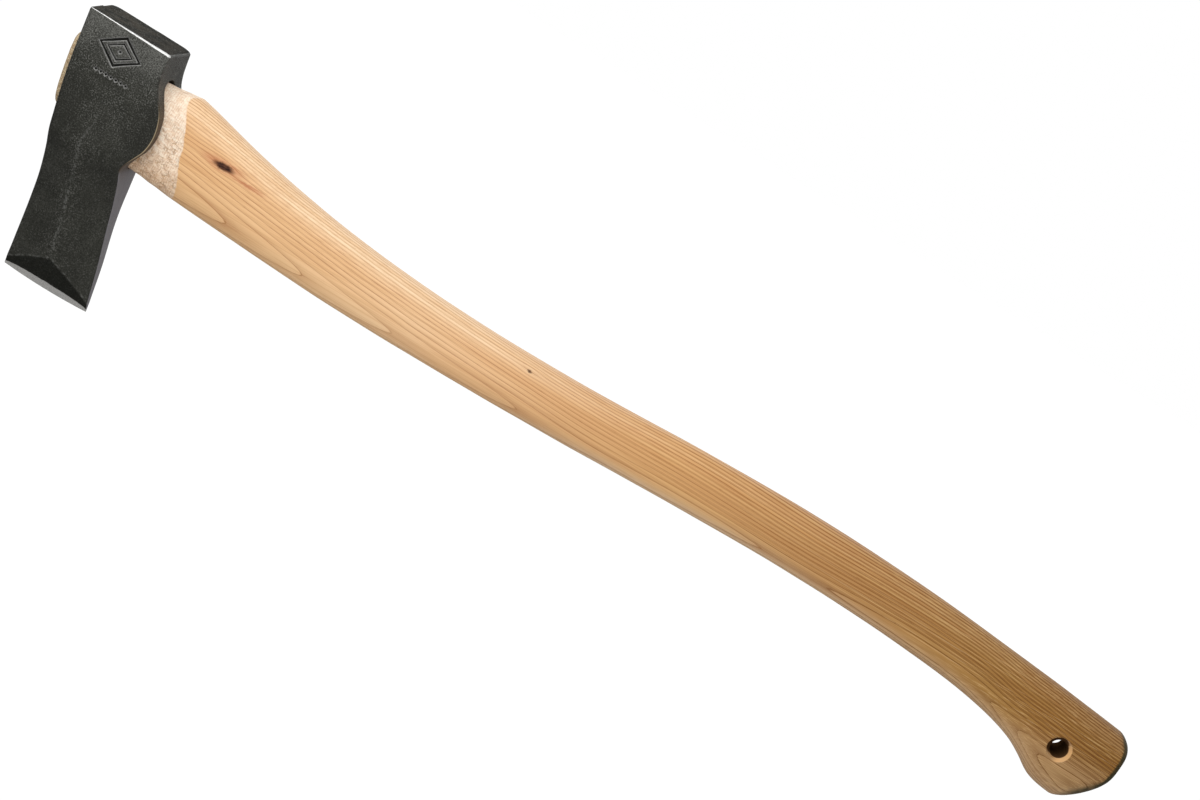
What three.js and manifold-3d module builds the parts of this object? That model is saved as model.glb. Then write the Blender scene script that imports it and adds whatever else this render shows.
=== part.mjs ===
// Splitting axe: a forged wedge-shaped head hung on a curved hickory handle, locked in the
// eye by a wooden kerf wedge and a steel ring wedge.
// Millimetres, +X along the handle to its knob, +Z to the poll (hammer face), -Z to the
// cutting edge. The XZ plane is the plane of symmetry. Everything is drawn from the centre of
// the eye, and the finished axe is moved so that its origin is the centre of the poll face.
import * as THREE from "three";
import { mergeVertices } from "three/addons/utils/BufferGeometryUtils.js";
import Module from "manifold-3d";

const wasm = await Module();
wasm.setup();

// ---- Driving dimensions ----------------------------------------------------------------
const FIT = 0.3; // play between two pieces that are wedged or pressed together

const POLL_Z = 44.5; // striking face of the poll
const EDGE_Z = -114.2; // corners of the cutting edge
const EDGE_BELLY = 1; // how far the middle of the edge stands below its corners
const EDGE_HALF = 0.2; // half thickness left at the very edge
const CHEEK_HALF = 21.8; // half thickness of the head between its two flat cheeks
const FLAT_Z = -16; // lower end of the flat cheeks
const CORNER = 1.5; // chamfer along the head's long corners and round the poll
const GRIND = { height: 4, angle: 24 }; // bright ground strip along the edge
const BEVEL_ANGLE = 20; // forged bevel above the ground strip

const MOUTH_X = 23; // underside of the head, where the handle enters the eye
const MOUTH = { top: 28.3, bottom: -27.6, half: 11.7 }; // eye at the underside
const CROWN = { top: 26, bottom: -17.5, half: 11.2 }; // eye at the far side
const NECK_GAP = 1.9; // open gap between the handle and the poll end of the mouth
const TONGUE_PROUD = 5.2; // wood standing out of the far side of the eye
const SHOULDER_X = 46; // ridge where the handle reaches its full section

const BUTT_X = 690.3; // flat end of the knob
const HEEL = { x: 666, z: -30, power: 1.45 }; // round lower corner of the knob
const HORN = { x: 682, z: -12.5, power: 2 }; // round upper corner of the knob
const BUTT_EASE = 4.5; // rounding between the knob's sides and its butt
const HOLE = { x: 654.2, z: -28.6, radius: 5.7, chamfer: 2.3 }; // hanging hole

const KERF = { root_x: 12, mouth: 5, root: 1.4 }; // wooden wedge, across Y
const RING = { outer: 8.5, tip: 7.4, inner: 6.6, depth: 16 }; // ring wedge

const LOOP = 36; // points round the handle
const CHEEK = 14; // spans across each cheek of the head

const STEEL = { color: 0x3a3a37, roughness: 0.6, metalness: 0.7 };
const HICKORY = { color: 0xd9ad78, roughness: 0.6, metalness: 0 };
const WEDGE_WOOD = { color: 0xc29a66, roughness: 0.75, metalness: 0 };
const BRIGHT = { color: 0x9a9a98, roughness: 0.35, metalness: 0.9 };

// ---- Helpers ---------------------------------------------------------------------------
const mix = THREE.MathUtils.lerp;
const radians = THREE.MathUtils.degToRad;
const steps = (from, to, count) =>
  Array.from({ length: count + 1 }, (_, i) => mix(from, to, i / count));

// A smooth function through knots [at, value, ...more values], first column rising.
function through(knots) {
  const at = knots.map((k) => k[0]);
  const width = knots[0].length - 1;
  const curve = new THREE.CubicInterpolant(at, knots.flatMap((k) => k.slice(1)), width);
  return (x) => Array.from(curve.evaluate(THREE.MathUtils.clamp(x, at[0], at.at(-1))));
}

// A round corner of the given power, from 1 at its start to 0 at its end.
const rounded = (share, power) => (1 - Math.min(1, share) ** power) ** (1 / power);

// A closed body through loops of points. Each loop mirrors across the XZ plane, so point i
// pairs with point n - 1 - i and the two ends are closed by strips between those pairs.
function loft(loops) {
  const n = loops[0].length;
  const index = [];
  const quad = (a, b, c, d) => index.push(a, b, c, a, c, d);
  for (let i = 0; i < loops.length - 1; i++)
    for (let j = 0; j < n; j++) {
      const next = (j + 1) % n;
      quad(i * n + j, i * n + next, (i + 1) * n + next, (i + 1) * n + j);
    }
  const last = (loops.length - 1) * n;
  for (let j = 0; j < n / 2 - 1; j++) {
    quad(j, n - 1 - j, n - 2 - j, j + 1);
    quad(last + j, last + j + 1, last + n - 2 - j, last + n - 1 - j);
  }
  const geometry = new THREE.BufferGeometry();
  const points = new Float32Array(loops.flat(2));
  geometry.setAttribute("position", new THREE.BufferAttribute(points, 3));
  return geometry.setIndex(index);
}

// A three.js geometry as a solid that can be cut, and a cut solid as a geometry again.
function solid(geometry) {
  const bare = geometry.clone();
  bare.deleteAttribute("normal");
  bare.deleteAttribute("uv");
  const merged = mergeVertices(bare, 1e-4);
  const vertProperties = new Float32Array(merged.attributes.position.array);
  const triVerts = new Uint32Array(merged.index.array);
  return new wasm.Manifold(new wasm.Mesh({ numProp: 3, vertProperties, triVerts }));
}

function geometryOf(body) {
  const { vertProperties, triVerts } = body.getMesh();
  const geometry = new THREE.BufferGeometry();
  geometry.setAttribute("position", new THREE.BufferAttribute(vertProperties, 3));
  geometry.setIndex(new THREE.BufferAttribute(triVerts, 1));
  geometry.computeVertexNormals();
  return geometry;
}

function piece(name, body, look) {
  const mesh = new THREE.Mesh(geometryOf(body), new THREE.MeshStandardMaterial(look));
  mesh.name = name;
  return mesh;
}

// ---- Head ------------------------------------------------------------------------------
// Side view, as X against rising Z: the far side (away from the handle) and the near side,
// whose two rounded lugs reach down over the handle.
const farSide = through([
  [EDGE_Z, -7.9], [-60, -13.1], [-31, -17.6], [9, -25.2], [POLL_Z, -29.5],
]);
const nearSide = through([
  [EDGE_Z, 46.6], [-87, 41.3], [-61, 35.2], [-34, 30], [-28, 28.6], [-24.5, 28.9],
  [-19, 31.8], [-10, 35.8], [0, 37.4], [10, 36], [19, 31.4], [26, 26.3], [34, 24.1],
  [POLL_Z, 22.9],
]);
// Half thickness along the sides and along the middle ridge of each cheek, up to where the
// cheeks run flat and parallel.
const halfThickness = through([
  [EDGE_Z, 1.6, 5], [-100, 3.9, 7.2], [-85, 5.6, 9.6], [-70, 7.1, 12.2], [-54, 9.6, 15.2],
  [-38, 15.2, 18.8], [-27, 20.6, 21.3], [FLAT_Z, CHEEK_HALF, CHEEK_HALF],
]);

// Half thickness allowed by the ground strip and by the bevel, at a height above the edge.
function bevelLimit(height) {
  const ground = EDGE_HALF + Math.tan(radians(GRIND.angle)) * Math.min(height, GRIND.height);
  const above = Math.max(0, height - GRIND.height);
  return ground + Math.tan(radians(BEVEL_ANGLE)) * above;
}

// One loop round the head at height z, drawn in by inset for the chamfer of the poll.
function headLoop(z, inset) {
  const [left] = farSide(z);
  const [right] = nearSide(z);
  const [side, ridge] = halfThickness(z);
  const low = THREE.MathUtils.smoothstep(EDGE_Z + 55 - z, 0, 55);
  const limit = bevelLimit(z - EDGE_Z);
  const cheek = steps(0, 1, CHEEK).map((share) => {
    const across = Math.abs(2 * share - 1);
    const half = Math.min(mix(ridge, side, across ** 1.4), limit) - inset;
    const cut = Math.min(CORNER, half / 2);
    const x = mix(left + inset + cut, right - inset - cut, share);
    return { x, half, cut, z: z - EDGE_BELLY * low * (1 - across ** 2) };
  });
  const first = cheek[0];
  const last = cheek.at(-1);
  const row = [
    [first.x - first.cut, -first.half + first.cut, first.z],
    ...cheek.map((p) => [p.x, -p.half, p.z]),
    [last.x + last.cut, -last.half + last.cut, last.z],
  ];
  return [...row, ...row.toReversed().map(([x, y, height]) => [x, -y, height])];
}

function headBlank() {
  const heights = [
    ...steps(EDGE_Z, EDGE_Z + GRIND.height, 1),
    ...steps(-107, -32, 16),
    ...steps(-29, 34, 21),
    ...steps(38, POLL_Z - CORNER, 2),
  ];
  const loops = heights.map((z) => headLoop(z, 0));
  loops.push(headLoop(POLL_Z, CORNER));
  return solid(loft(loops));
}

// ---- Eye and tongue ----------------------------------------------------------------------
// The far side of the head leans across the eye, and the end of the tongue with it.
const END_X = farSide(0)[0];
const LEAN = (farSide(CROWN.bottom)[0] - farSide(CROWN.top)[0]) / (CROWN.top - CROWN.bottom);
const TONGUE_END = END_X - TONGUE_PROUD * Math.hypot(1, LEAN);
const DOME = [[0, 2.6], [1, 1], [2.6, 0]]; // edge of the tongue: depth against inset

// The eye, as the opening in a section at x. The wood is smaller by its play and its gap.
function eyeSection(x) {
  const share = THREE.MathUtils.clamp((x - END_X) / (MOUTH_X - END_X), 0, 1);
  return {
    top: mix(CROWN.top, MOUTH.top, share),
    bottom: mix(CROWN.bottom, MOUTH.bottom, share),
    half: mix(CROWN.half, MOUTH.half, share),
    power: 2.6,
    lean: mix(LEAN, 0, share),
    gap: mix(0, NECK_GAP, share),
  };
}

function tongueSection(x, inset = 0) {
  const eye = eyeSection(x);
  return {
    ...eye,
    top: eye.top - eye.gap - FIT - inset,
    bottom: eye.bottom + FIT + inset,
    half: eye.half - FIT - inset,
  };
}

// ---- Handle ----------------------------------------------------------------------------
// Top line, bottom line and half width from the shoulder to where the knob rounds off.
const handleLines = through([
  [SHOULDER_X, 28.9, -29.3, 15], [104, 15.7, -32.1, 14.6], [164, 7, -34.3, 13.8],
  [234, 2.8, -34.1, 13], [304, 3.2, -32.3, 12.6], [404, 8.1, -28, 12.5],
  [470, 9.8, -26.4, 12.5], [550, 7.4, -28.8, 12.8], [604, 3.3, -34.6, 13.3],
  [628, 1.2, -41.1, 13.9], [638, 0.3, -46.2, 14.2], [650, -0.9, -53.4, 14.4],
  [HEEL.x, -2.5, -56.4, 14.5], [BUTT_X, -5.2, -56.4, 14.5],
]);

function handleSection(x) {
  if (x <= MOUTH_X) return tongueSection(x);
  if (x < SHOULDER_X) {
    const share = (x - MOUTH_X) / (SHOULDER_X - MOUTH_X);
    const tongue = tongueSection(MOUTH_X);
    const [top, bottom, half] = handleLines(SHOULDER_X);
    return {
      top: mix(tongue.top, top, share),
      bottom: mix(tongue.bottom, bottom, share),
      half: mix(tongue.half, half, share),
      power: 2.6,
      lean: 0,
    };
  }
  let [top, bottom, half] = handleLines(x);
  if (x > HORN.x) {
    const share = (x - HORN.x) / (BUTT_X - HORN.x);
    top = mix(HORN.z, top, rounded(share, HORN.power));
  }
  if (x > HEEL.x) {
    const share = (x - HEEL.x) / (BUTT_X - HEEL.x);
    bottom = mix(HEEL.z, bottom, rounded(share, HEEL.power));
  }
  const ease = (x - BUTT_X + BUTT_EASE) / BUTT_EASE;
  if (ease > 0) half -= BUTT_EASE * (1 - rounded(ease, 2));
  const knob = THREE.MathUtils.smoothstep(x, 560, 650);
  return { top, bottom, half, power: mix(2.5, 3, knob), lean: 0 };
}

// A superellipse standing across X, leaning if asked.
function ovalLoop(x, { top, bottom, half, power, lean }) {
  const middle = (top + bottom) / 2;
  const tall = (top - bottom) / 2;
  return Array.from({ length: LOOP }, (_, i) => {
    const angle = -((i + 0.5) / LOOP) * 2 * Math.PI;
    const c = Math.cos(angle);
    const s = Math.sin(angle);
    const y = half * Math.sign(s) * Math.abs(s) ** (2 / power);
    const z = middle + tall * Math.sign(c) * Math.abs(c) ** (2 / power);
    return [x - lean * z, y, z];
  });
}

function handleBlank() {
  const tongue = DOME.map(([depth, inset]) => {
    const x = TONGUE_END + depth;
    return ovalLoop(x, tongueSection(x, inset));
  });
  const stations = [
    ...steps(END_X, MOUTH_X, 2),
    ...steps(31, SHOULDER_X, 2),
    ...steps(56, 600, 45),
    ...steps(605, 680, 15),
    ...steps(682, BUTT_X - 0.2, 6),
  ];
  return solid(loft([...tongue, ...stations.map((x) => ovalLoop(x, handleSection(x)))]));
}

// The eye follows the handle's entry, so that the lugs hug the wood.
function eyeCutter() {
  const inside = [-60, END_X, MOUTH_X].map((x) => ovalLoop(x, eyeSection(x)));
  const outside = [31, 39, SHOULDER_X].map((x) => {
    const wood = handleSection(x);
    return ovalLoop(x, {
      ...wood,
      top: wood.top + NECK_GAP + FIT,
      bottom: wood.bottom - FIT,
      half: wood.half + FIT,
    });
  });
  return solid(loft([...inside, ...outside]));
}

// ---- Wedges ------------------------------------------------------------------------------
// Tapered slab in the kerf, thick end outwards, grown by play all round.
function wedgeSlab(play) {
  const depth = KERF.root_x - TONGUE_END;
  const rise = (KERF.mouth - KERF.root) / 2 / depth;
  const back = TONGUE_END - 20;
  const wide = KERF.mouth / 2 + 20 * rise + play;
  const thin = KERF.root / 2 + play;
  const shape = new THREE.Shape([
    new THREE.Vector2(back, -wide),
    new THREE.Vector2(KERF.root_x + play, -thin),
    new THREE.Vector2(KERF.root_x + play, thin),
    new THREE.Vector2(back, wide),
  ]);
  const slab = new THREE.ExtrudeGeometry(shape, { depth: 80, bevelEnabled: false });
  return solid(slab.translate(0, 0, -40));
}

// Cone-backed ring flush with the end of the tongue, thick end outwards. With play it is
// the groove that the ring leaves, open to that end.
function ringBody(play) {
  const { outer, tip, inner, depth } = RING;
  const back = play ? [new THREE.Vector2(outer + play, -20)] : [];
  const profile = [
    new THREE.Vector2(inner - play, play ? -20 : 0),
    ...back,
    new THREE.Vector2(outer + play, 0),
    new THREE.Vector2(tip + play, depth + play),
    new THREE.Vector2(inner - play, depth + play),
  ];
  profile.push(profile[0].clone());
  const ring = new THREE.LatheGeometry(profile, 40).rotateZ(-Math.PI / 2);
  return solid(ring.rotateY(-Math.atan(LEAN)).translate(TONGUE_END, 0, 0));
}

function holeCutter() {
  const face = handleSection(HOLE.x).half;
  const throat = face - HOLE.chamfer;
  const flare = 5;
  const profile = [
    new THREE.Vector2(0, -throat - flare),
    new THREE.Vector2(HOLE.radius + flare, -throat - flare),
    new THREE.Vector2(HOLE.radius, -throat),
    new THREE.Vector2(HOLE.radius, throat),
    new THREE.Vector2(HOLE.radius + flare, throat + flare),
    new THREE.Vector2(0, throat + flare),
  ];
  return solid(new THREE.LatheGeometry(profile, 32).translate(HOLE.x, 0, HOLE.z));
}

// ---- Assembly --------------------------------------------------------------------------
const groove = ringBody(FIT);
const blank = handleBlank();

const head = headBlank().subtract(eyeCutter());
const handle = blank.subtract(wedgeSlab(FIT)).subtract(groove).subtract(holeCutter());
const kerfWedge = wedgeSlab(0).intersect(blank).subtract(groove);
const ringWedge = ringBody(0);

const axe = new THREE.Group();
axe.add(
  piece("axe_head", head, STEEL),
  piece("handle", handle, HICKORY),
  piece("kerf_wedge", kerfWedge, WEDGE_WOOD),
  piece("ring_wedge", ringWedge, BRIGHT),
);

const pollCentre = (farSide(POLL_Z)[0] + nearSide(POLL_Z)[0]) / 2;
axe.position.set(-pollCentre, 0, -POLL_Z);

export default axe;
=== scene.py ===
import math

import bmesh
import bpy
import numpy as np
from mathutils import Matrix, Vector, noise


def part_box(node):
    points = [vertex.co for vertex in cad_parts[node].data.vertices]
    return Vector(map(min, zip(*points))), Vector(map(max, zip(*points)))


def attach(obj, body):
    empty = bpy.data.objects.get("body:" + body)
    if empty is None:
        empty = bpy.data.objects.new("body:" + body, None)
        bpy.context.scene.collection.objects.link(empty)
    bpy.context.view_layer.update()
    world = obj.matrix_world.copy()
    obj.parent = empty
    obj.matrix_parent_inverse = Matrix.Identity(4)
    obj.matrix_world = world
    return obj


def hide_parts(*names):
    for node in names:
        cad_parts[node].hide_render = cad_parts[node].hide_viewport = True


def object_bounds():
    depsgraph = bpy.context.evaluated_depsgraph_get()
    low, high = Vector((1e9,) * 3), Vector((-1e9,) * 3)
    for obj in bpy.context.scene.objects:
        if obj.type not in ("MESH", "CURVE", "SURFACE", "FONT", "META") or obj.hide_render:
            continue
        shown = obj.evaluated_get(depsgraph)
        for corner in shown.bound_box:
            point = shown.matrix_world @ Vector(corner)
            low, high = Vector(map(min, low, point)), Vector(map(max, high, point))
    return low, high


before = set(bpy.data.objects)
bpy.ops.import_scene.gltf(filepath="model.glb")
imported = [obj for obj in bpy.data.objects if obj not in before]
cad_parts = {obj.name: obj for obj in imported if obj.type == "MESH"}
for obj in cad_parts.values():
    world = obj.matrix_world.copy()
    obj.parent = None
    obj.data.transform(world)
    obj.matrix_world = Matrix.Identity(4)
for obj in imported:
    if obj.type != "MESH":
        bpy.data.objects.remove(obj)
cad_low, cad_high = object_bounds()

# Everything below is drawn in millimetres from the centre of the eye, as the CAD is, and
# moved into the frame by the head's own box.
MM = 0.001
EYE_FROM_HEAD = (46.6, 44.5)  # the head's highest X and Z corner, from the eye
_, head_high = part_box("axe_head")
EYE = np.array([head_high.x - EYE_FROM_HEAD[0] * MM, 0.0, head_high.z - EYE_FROM_HEAD[1] * MM])

FIT = 0.3  # play round the wood, and in the cuts for the wedges
SAME_POINT = 0.0001  # points closer than this are one
SLIVER = 0.006  # a cut's faces thinner than this are dropped

# Head
POLL_Z, EDGE_Z, EDGE_BELLY, EDGE_HALF = 44.5, -114.2, 1.0, 0.2
EDGE_MIDDLE, EDGE_REACH = 19.35, 27.25  # in X
CHEEK_HALF, FLAT_Z = 21.8, -16.0
GRIND_HEIGHT, GRIND_SLOPE = 4.0, math.tan(math.radians(24))
BEVEL_SLOPE, BEVEL_TOP = math.tan(math.radians(22)), -84.0
POLL_CHAMFER = 1.6
NEAR_RIM = 0.35  # share of the poll's chamfer left at the far end of the near cheek
TENT = 1.2  # 1 is a straight slope from the ridge to the sides
CHEEK_SPANS, SIDE_SPANS, ARC_SPANS = 92, 12, 5
MARK_X, MARK_Z = -3.2, 31.0

# Eye and tongue: the openings are top, bottom and half width
MOUTH_X, NECK_GAP = 23.0, 1.9
MOUTH = (28.3, -27.6, 11.7)
CROWN = (26.0, -17.5, 11.2)
EYE_POWER = 2.6
TONGUE_PROUD, TONGUE_ROUND = 5.2, 2.2

# Handle
SHOULDER_X, BUTT_X = 46.0, 690.3
HEEL_X, HEEL_Z, HEEL_POWER = 666.0, -30.0, 1.45
HORN_X, HORN_Z, HORN_POWER = 682.0, -12.5, 2.0
GRIP_POWER, KNOB_POWER = 2.5, 3
BUTT_EASE = 4.5
HOLE_X, HOLE_Z, HOLE_RADIUS, HOLE_CHAMFER = 654.2, -28.6, 5.3, 2.5
PIN_KNOT = (282.5, -3.6)
AROUND = 96

# Wedges
KERF_ROOT_X, KERF_MOUTH, KERF_ROOT = 12.0, 5.0, 1.4
RING_OUTER, RING_TIP, RING_INNER, RING_DEPTH = 8.5, 7.4, 6.6, 16.0


# ---- Curves and meshes ----
def mix(a, b, share):
    return a + (b - a) * share


def smoothstep(x, low, high):
    share = np.clip((x - low) / (high - low), 0, 1)
    return share * share * (3 - 2 * share)


def curve(knots):
    """A smooth function through rows [at, value, ...], as a list with one array per value."""
    table = np.array(knots, float)
    at, values = table[:, 0], table[:, 1:]
    secant = np.diff(values, axis=0) / np.diff(at)[:, None]
    slope = np.vstack([secant[:1], (secant[:-1] + secant[1:]) / 2, secant[-1:]])

    def evaluate(x):
        x = np.clip(np.asarray(x, float), at[0], at[-1])
        i = np.clip(np.searchsorted(at, x, side="right") - 1, 0, len(at) - 2)
        width = (at[i + 1] - at[i])[..., None]
        t = (x - at[i])[..., None] / width
        start = (2 * t**3 - 3 * t**2 + 1) * values[i] + (t**3 - 2 * t**2 + t) * width * slope[i]
        end = (3 * t**2 - 2 * t**3) * values[i + 1] + (t**3 - t**2) * width * slope[i + 1]
        return np.moveaxis(start + end, -1, 0)

    return evaluate


def rough(points, size, seed):
    """Smooth noise from -1 to 1 at each point, at features of the given size in mm."""
    size = np.broadcast_to(np.asarray(size, float), 3)
    shift = np.array([17.3, -5.1, 9.7]) * seed
    return np.array([noise.noise(Vector(p)) for p in points / size + shift])


def loft(loops):
    """Points and faces of a closed body. Point i of each loop mirrors point n - 1 - i."""
    rows, n = loops.shape[:2]
    j = np.arange(n)
    k = (j + 1) % n
    faces = []
    for i in range(rows - 1):
        a, b = i * n, (i + 1) * n
        faces += np.stack([a + j, a + k, b + k, b + j], 1).tolist()
    last = (rows - 1) * n
    for j in range(n // 2 - 1):
        faces.append([j, n - 1 - j, n - 2 - j, j + 1])
        faces.append([last + j, last + j + 1, last + n - 2 - j, last + n - 1 - j])
    return loops.reshape(-1, 3), faces


def lathe(profile, spans):
    """Points and faces of a ring: a closed profile of (radius, along Y) turned about Y."""
    profile = np.array(profile, float)
    angle = np.arange(spans) / spans * 2 * math.pi
    x = profile[:, 0][None] * np.cos(angle)[:, None]
    z = profile[:, 0][None] * np.sin(angle)[:, None]
    y = np.broadcast_to(profile[:, 1], x.shape)
    n = len(profile)
    faces = []
    for i in range(spans):
        a, b = i * n, (i + 1) % spans * n
        faces += [[a + j, a + (j + 1) % n, b + (j + 1) % n, b + j] for j in range(n)]
    return np.stack([x, y, z], 2).reshape(-1, 3), faces


def add_object(name, data):
    made = bpy.data.objects.new(name, data)
    bpy.context.scene.collection.objects.link(made)
    return made


def body(name, points, faces):
    """A mesh object from points in mm from the eye, facing out."""
    mesh = bpy.data.meshes.new(name)
    mesh.from_pydata((np.asarray(points) * MM + EYE).tolist(), [], faces)
    shaped = bmesh.new()
    shaped.from_mesh(mesh)
    bmesh.ops.remove_doubles(shaped, verts=shaped.verts, dist=SAME_POINT * MM)
    bmesh.ops.recalc_face_normals(shaped, faces=shaped.faces)
    shaped.to_mesh(mesh)
    shaped.free()
    return add_object(name, mesh)


def carve(target, operation, *tools):
    """Cuts target by each tool in turn, or keeps what they share, and drops the slivers."""
    for tool in tools:
        modifier = target.modifiers.new(tool.name, "BOOLEAN")
        modifier.operation = operation
        modifier.solver = "EXACT"
        modifier.object = tool
    graph = bpy.context.evaluated_depsgraph_get()
    mesh = bpy.data.meshes.new_from_object(target.evaluated_get(graph), depsgraph=graph)
    target.modifiers.clear()
    target.data = mesh
    clean = bmesh.new()
    clean.from_mesh(mesh)
    bmesh.ops.remove_doubles(clean, verts=clean.verts, dist=SLIVER * MM)
    bmesh.ops.dissolve_degenerate(clean, dist=SLIVER * MM, edges=clean.edges)
    clean.to_mesh(mesh)
    clean.free()


def twin(target):
    """A copy of an object that has only a mesh, with a mesh of its own."""
    return add_object(target.name, target.data.copy())


def places(target):
    """The points of an object's mesh, in mm from the eye."""
    flat = np.empty(len(target.data.vertices) * 3, np.float32)
    target.data.vertices.foreach_get("co", flat)
    return (flat.reshape(-1, 3).astype(float) - EYE) / MM


def paint(target, name, values):
    """Stores one number per point for the materials to read."""
    layer = target.data.attributes.new(name, "FLOAT", "POINT")
    layer.data.foreach_set("value", np.asarray(values, np.float32))


def finish_piece(target, node, material, sharp_angle):
    """Shades a piece, gives it its material and puts it in the place of a CAD node."""
    target.data.shade_smooth()
    target.data.set_sharp_from_angle(angle=math.radians(sharp_angle))
    target.data.materials.clear()
    target.data.materials.append(material)
    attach(target, "root")
    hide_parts(node)


# ---- Head ----
far_side = curve([
    [EDGE_Z, -7.9], [-60, -13.1], [-31, -17.6], [9, -25.2], [POLL_Z, -29.5],
])
near_side = curve([
    [EDGE_Z, 46.6], [-87, 41.3], [-61, 35.2], [-34, 30], [-28, 28.6], [-24.5, 28.9],
    [-19, 31.3], [-10, 35.5], [-2, 36.5], [6, 35.3], [13, 32.6], [19, 28.5], [24, 25.3],
    [30, 23.6], [37, 22.9], [POLL_Z, 22.5],
])
half_thickness = curve([
    [EDGE_Z, 1.6, 5], [-100, 3.9, 7.2], [-85, 5.6, 9.6], [-70, 7.1, 12.2], [-54, 9.6, 15.2],
    [-38, 15.2, 18.8], [-27, 20.6, 21.3], [FLAT_Z, CHEEK_HALF, CHEEK_HALF],
])
ridge_share = curve([[-95, 0.475], [-48, 0.445], [-9, 0.42]])
far_lean = ([-4, 16, 24, POLL_Z], [0, 2.6, 2.6, 1.2])
# Radius of the long corners: far end and handle end of the near cheek, then of the far cheek.
corner_radius = curve([
    [EDGE_Z, 1.0, 1.0, 1.0, 1.0], [-20, 1.5, 1.4, 2.0, 1.5], [28, 1.4, 1.4, 3.0, 2.6],
    [POLL_Z, 0.8, 1.2, 5.0, 4.4],
])


def bevel_limit(z):
    """How far the ground strip and the bevel let a cheek stand out at height z."""
    height = z - EDGE_Z
    ground = EDGE_HALF + GRIND_SLOPE * np.minimum(height, GRIND_HEIGHT)
    return ground + BEVEL_SLOPE * np.maximum(0, height - GRIND_HEIGHT)


def from_ridge(share, peak):
    """0 on a cheek's ridge and 1 at either side, at a share of the cheek's width."""
    return np.where(share < peak, (peak - share) / peak, (share - peak) / (1 - peak))


def cheek_row(z, inset, corners, rim):
    """Half of a loop round the head at height z, drawn in by inset for the poll's chamfer,
    or by the share rim of inset at the cheek's far end."""
    left, right = far_side(z)[0], near_side(z)[0]
    side, ridge = half_thickness(z)
    low = smoothstep(EDGE_Z + 55 - z, 0, 55)
    share = np.linspace(0, 1, CHEEK_SPANS + 1)
    across = from_ridge(share, ridge_share(z)[0])
    inset = inset * mix(rim, 1.0, share)
    half = np.minimum(mix(ridge, side, across**TENT), bevel_limit(z)) - inset
    far_cut, near_cut = (min(c, half[0] / 2) for c in corners)
    x = mix(left + inset[0] + far_cut, right - inset[-1] - near_cut, share)
    drop = EDGE_BELLY * low * (1 - (2 * share - 1) ** 2)
    cheek = np.stack([x, -half, z - drop], 1)
    turn = np.linspace(0, math.pi / 2, ARC_SPANS + 1)[:-1]

    def arc(corner, cut, way):
        bow = np.stack([way * np.cos(turn), -np.sin(turn), 0 * turn], 1) * cut
        return corner + np.array([0, cut, 0]) + bow

    def flank(start):
        run = np.linspace(0, 1, SIDE_SPANS, endpoint=False) + 0.5 / SIDE_SPANS
        return start * np.stack([0 * run + 1, run, 0 * run + 1], 1)

    first = arc(cheek[0], far_cut, -1)
    last = arc(cheek[-1], near_cut, 1)[::-1]
    return np.vstack([flank(first[0]), first, cheek, last, flank(last[-1])[::-1]])


def head_loop(z, inset):
    corners = corner_radius(z)
    near = cheek_row(z, inset, corners[:2], NEAR_RIM)
    far = cheek_row(z, inset, corners[2:], 1.0)
    return np.vstack([near, far[::-1] * [1, -1, 1]])


def head_blank():
    heights = np.concatenate([
        np.linspace(EDGE_Z, EDGE_Z + 1, 3),
        np.linspace(EDGE_Z + 1.5, -92, 44),
        np.linspace(-91.2, POLL_Z - POLL_CHAMFER, 160),
    ])
    loops = [head_loop(z, 0) for z in heights]
    for share in (0.06, 0.2, 0.4, 0.6, 0.8, 0.94, 1.0):
        bow = 0.12 * math.sin(math.pi * share)
        below, inset = POLL_CHAMFER * (1 - share - bow), POLL_CHAMFER * (share - bow)
        loop = head_loop(POLL_Z - below, inset)
        near = np.where(loop[:, 1] < -10, mix(0.3, 1.0, smoothstep(loop[:, 0], -32, 22)), 1.0)
        loop[:, 2] = POLL_Z - below * near
        loops.append(loop)
    rim = loops[-1]
    centre = rim.mean(0)
    for share in np.linspace(0.95, 0.02, 16):
        loops.append(centre + (rim - centre) * share)
    points, faces = loft(np.array(loops))
    # forged by hand: the side over the handle stands out further at its far corner
    lean = smoothstep(points[:, 1], -19, 18) * smoothstep(points[:, 0], 14, 22)
    points[:, 0] += lean * np.interp(points[:, 2], *far_lean)
    # hammered: shallow hollows, only ever inwards
    height = points[:, 2] - EDGE_Z
    fade = smoothstep(height, 3, 14) * smoothstep(np.abs(points[:, 1]), 0.5, 3)
    dent = 0.32 * (1 + rough(points, 17, 1)) / 2 + 0.10 * (1 + rough(points, 5.5, 2)) / 2
    points[:, 1] -= np.sign(points[:, 1]) * dent * fade
    wave = 0.25 * (1 + rough(points, 21, 3)) / 2
    points[:, 0] += wave * np.where(points[:, 0] < 8, 1, -1) * fade
    top = smoothstep(points[:, 2], POLL_Z - 0.5, POLL_Z)
    points[:, 2] -= top * 0.2 * (1 + rough(points, 9, 4)) / 2
    return body("head_blank", points, faces)


# ---- Eye, tongue and handle ----
END_X = float(far_side(0)[0])
LEAN = float(far_side(CROWN[1])[0] - far_side(CROWN[0])[0]) / (CROWN[0] - CROWN[1])
TONGUE_END = END_X - TONGUE_PROUD * math.hypot(1, LEAN)
ANGLE = -(np.arange(AROUND) + 0.5) / AROUND * 2 * math.pi
COS, SIN = np.cos(ANGLE), np.sin(ANGLE)

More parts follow.
